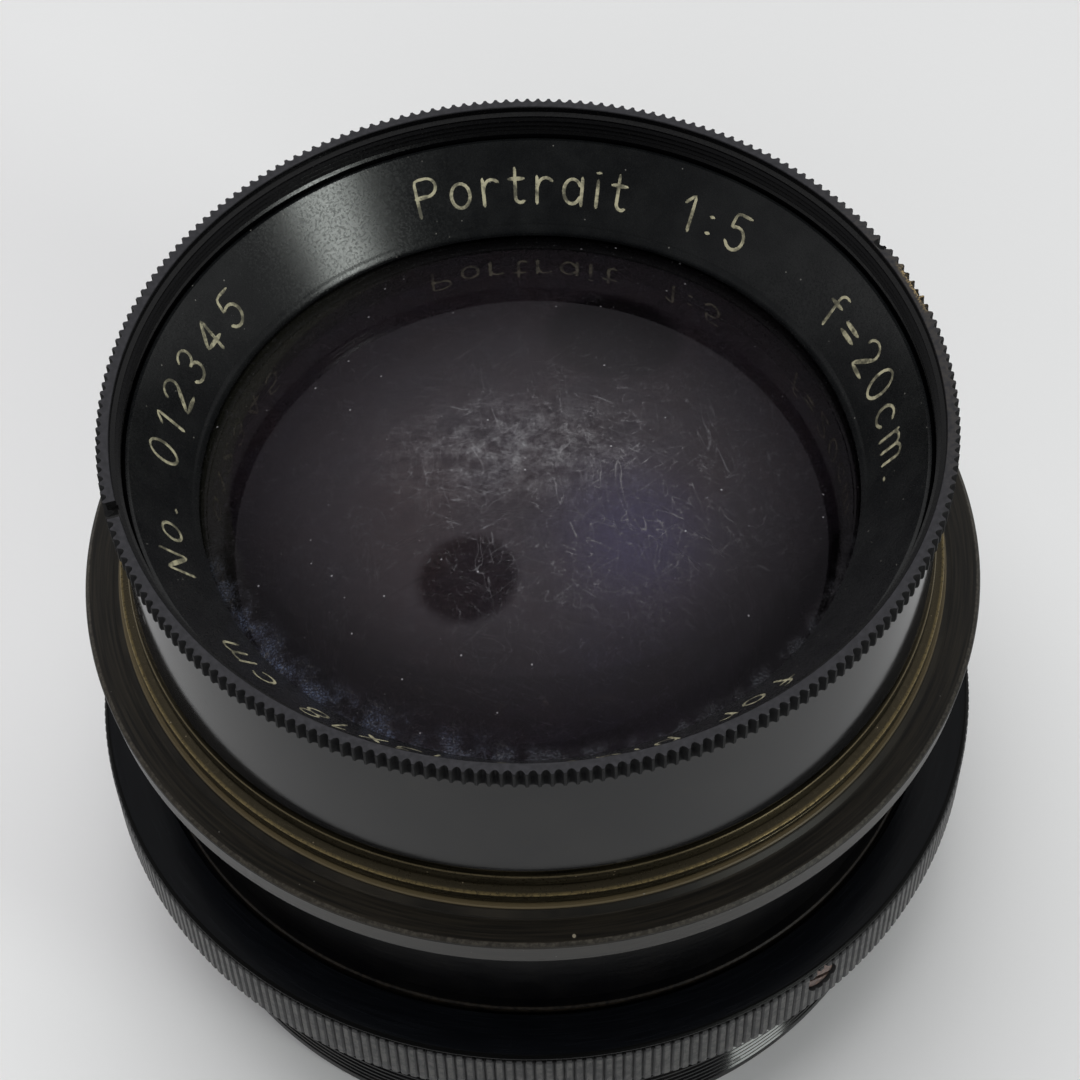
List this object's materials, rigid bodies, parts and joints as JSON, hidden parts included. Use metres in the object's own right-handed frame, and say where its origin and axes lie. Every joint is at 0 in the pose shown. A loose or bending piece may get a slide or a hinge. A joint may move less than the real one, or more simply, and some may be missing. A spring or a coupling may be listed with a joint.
{
  "type": "barrel portrait lens",
  "caption": "Barrel-mounted large-format portrait lens with glass groups, a knurled control ring and a working leaf iris.",
  "frame": {"origin": "centre of the rear rim, on which the lens stands", "axes": "+Z along the optical axis, towards the front glass; the iris drive screw is at 53.4 degrees from +X towards -Y when the iris is open"},
  "size_m": [0.073, 0.073, 0.056],
  "materials": {
    "black_lacquer": "glossy black lacquer over brass, worn at the edges",
    "matt_black": "matt black lacquer over brass",
    "knurled_black": "black lacquer, knurl worn grey",
    "brown_lacquer": "thin brown-black lacquer, satin",
    "worn_brass": "brass showing through worn lacquer",
    "aged_brass": "tarnished",
    "leaf_steel": "blackened steel",
    "front_glass": "polished, hazed and finely scratched",
    "inner_glass": "polished"
  },
  "bodies": {
    "barrel": {"front_barrel": "black_lacquer", "name_ring": "matt_black", "front_element": "front_glass", "front_spacer": "matt_black", "middle_element": "inner_glass", "main_barrel": "matt_black", "stepped_collar": "worn_brass", "shoulder_flange": "brown_lacquer", "flange_grub_screw": "aged_brass", "ring_retainer": "black_lacquer", "iris_base_plate": "matt_black", "iris_lock_ring": "matt_black", "rear_barrel": "black_lacquer", "rear_cell": "matt_black", "doublet_front_element": "inner_glass", "doublet_rear_element": "inner_glass", "rear_retainer": "matt_black"},
    "iris_control": {"iris_ring": "knurled_black", "iris_drive_screw": "aged_brass", "iris_cam_ring": "matt_black"},
    "leaf_01": {"iris_leaf_01": "leaf_steel"},
    "leaf_02": {"iris_leaf_02": "leaf_steel"},
    "leaf_03": {"iris_leaf_03": "leaf_steel"},
    "leaf_04": {"iris_leaf_04": "leaf_steel"},
    "leaf_05": {"iris_leaf_05": "leaf_steel"},
    "leaf_06": {"iris_leaf_06": "leaf_steel"},
    "leaf_07": {"iris_leaf_07": "leaf_steel"},
    "leaf_08": {"iris_leaf_08": "leaf_steel"},
    "leaf_09": {"iris_leaf_09": "leaf_steel"},
    "leaf_10": {"iris_leaf_10": "leaf_steel"},
    "leaf_11": {"iris_leaf_11": "leaf_steel"},
    "leaf_12": {"iris_leaf_12": "leaf_steel"}
  },
  "joints": [
    {"name": "iris_turn", "type": "hinge", "parent": "barrel", "child": "iris_control", "pos_m": [0, 0, 0.0186], "axis": [0, 0, 1], "range_deg": [0, 45]},
    {"name": "leaf_01_swing", "type": "hinge", "parent": "barrel", "child": "leaf_01", "pos_m": [0.0258, 0, 0.0186], "axis": [0, 0, 1], "range_deg": [0, 36.5]},
    {"name": "leaf_02_swing", "type": "hinge", "parent": "barrel", "child": "leaf_02", "pos_m": [0.02234, 0.0129, 0.01896], "axis": [0, 0, 1], "range_deg": [0, 36.5]},
    {"name": "leaf_03_swing", "type": "hinge", "parent": "barrel", "child": "leaf_03", "pos_m": [0.0129, 0.02234, 0.01932], "axis": [0, 0, 1], "range_deg": [0, 36.5]},
    {"name": "leaf_04_swing", "type": "hinge", "parent": "barrel", "child": "leaf_04", "pos_m": [0, 0.0258, 0.01968], "axis": [0, 0, 1], "range_deg": [0, 36.5]},
    {"name": "leaf_05_swing", "type": "hinge", "parent": "barrel", "child": "leaf_05", "pos_m": [-0.0129, 0.02234, 0.02004], "axis": [0, 0, 1], "range_deg": [0, 36.5]},
    {"name": "leaf_06_swing", "type": "hinge", "parent": "barrel", "child": "leaf_06", "pos_m": [-0.02234, 0.0129, 0.0204], "axis": [0, 0, 1], "range_deg": [0, 36.5]},
    {"name": "leaf_07_swing", "type": "hinge", "parent": "barrel", "child": "leaf_07", "pos_m": [-0.0258, 0, 0.02076], "axis": [0, 0, 1], "range_deg": [0, 36.5]},
    {"name": "leaf_08_swing", "type": "hinge", "parent": "barrel", "child": "leaf_08", "pos_m": [-0.02234, -0.0129, 0.02112], "axis": [0, 0, 1], "range_deg": [0, 36.5]},
    {"name": "leaf_09_swing", "type": "hinge", "parent": "barrel", "child": "leaf_09", "pos_m": [-0.0129, -0.02234, 0.02148], "axis": [0, 0, 1], "range_deg": [0, 36.5]},
    {"name": "leaf_10_swing", "type": "hinge", "parent": "barrel", "child": "leaf_10", "pos_m": [0, -0.0258, 0.02184], "axis": [0, 0, 1], "range_deg": [0, 36.5]},
    {"name": "leaf_11_swing", "type": "hinge", "parent": "barrel", "child": "leaf_11", "pos_m": [0.0129, -0.02234, 0.0222], "axis": [0, 0, 1], "range_deg": [0, 36.5]},
    {"name": "leaf_12_swing", "type": "hinge", "parent": "barrel", "child": "leaf_12", "pos_m": [0.02234, -0.0129, 0.02256], "axis": [0, 0, 1], "range_deg": [0, 36.5]}
  ],
  "couplings": [
    {"joint": "leaf_01_swing", "follows": "iris_turn", "ratio": 0.8},
    {"joint": "leaf_02_swing", "follows": "iris_turn", "ratio": 0.8},
    {"joint": "leaf_03_swing", "follows": "iris_turn", "ratio": 0.8},
    {"joint": "leaf_04_swing", "follows": "iris_turn", "ratio": 0.8},
    {"joint": "leaf_05_swing", "follows": "iris_turn", "ratio": 0.8},
    {"joint": "leaf_06_swing", "follows": "iris_turn", "ratio": 0.8},
    {"joint": "leaf_07_swing", "follows": "iris_turn", "ratio": 0.8},
    {"joint": "leaf_08_swing", "follows": "iris_turn", "ratio": 0.8},
    {"joint": "leaf_09_swing", "follows": "iris_turn", "ratio": 0.8},
    {"joint": "leaf_10_swing", "follows": "iris_turn", "ratio": 0.8},
    {"joint": "leaf_11_swing", "follows": "iris_turn", "ratio": 0.8},
    {"joint": "leaf_12_swing", "follows": "iris_turn", "ratio": 0.8}
  ]
}
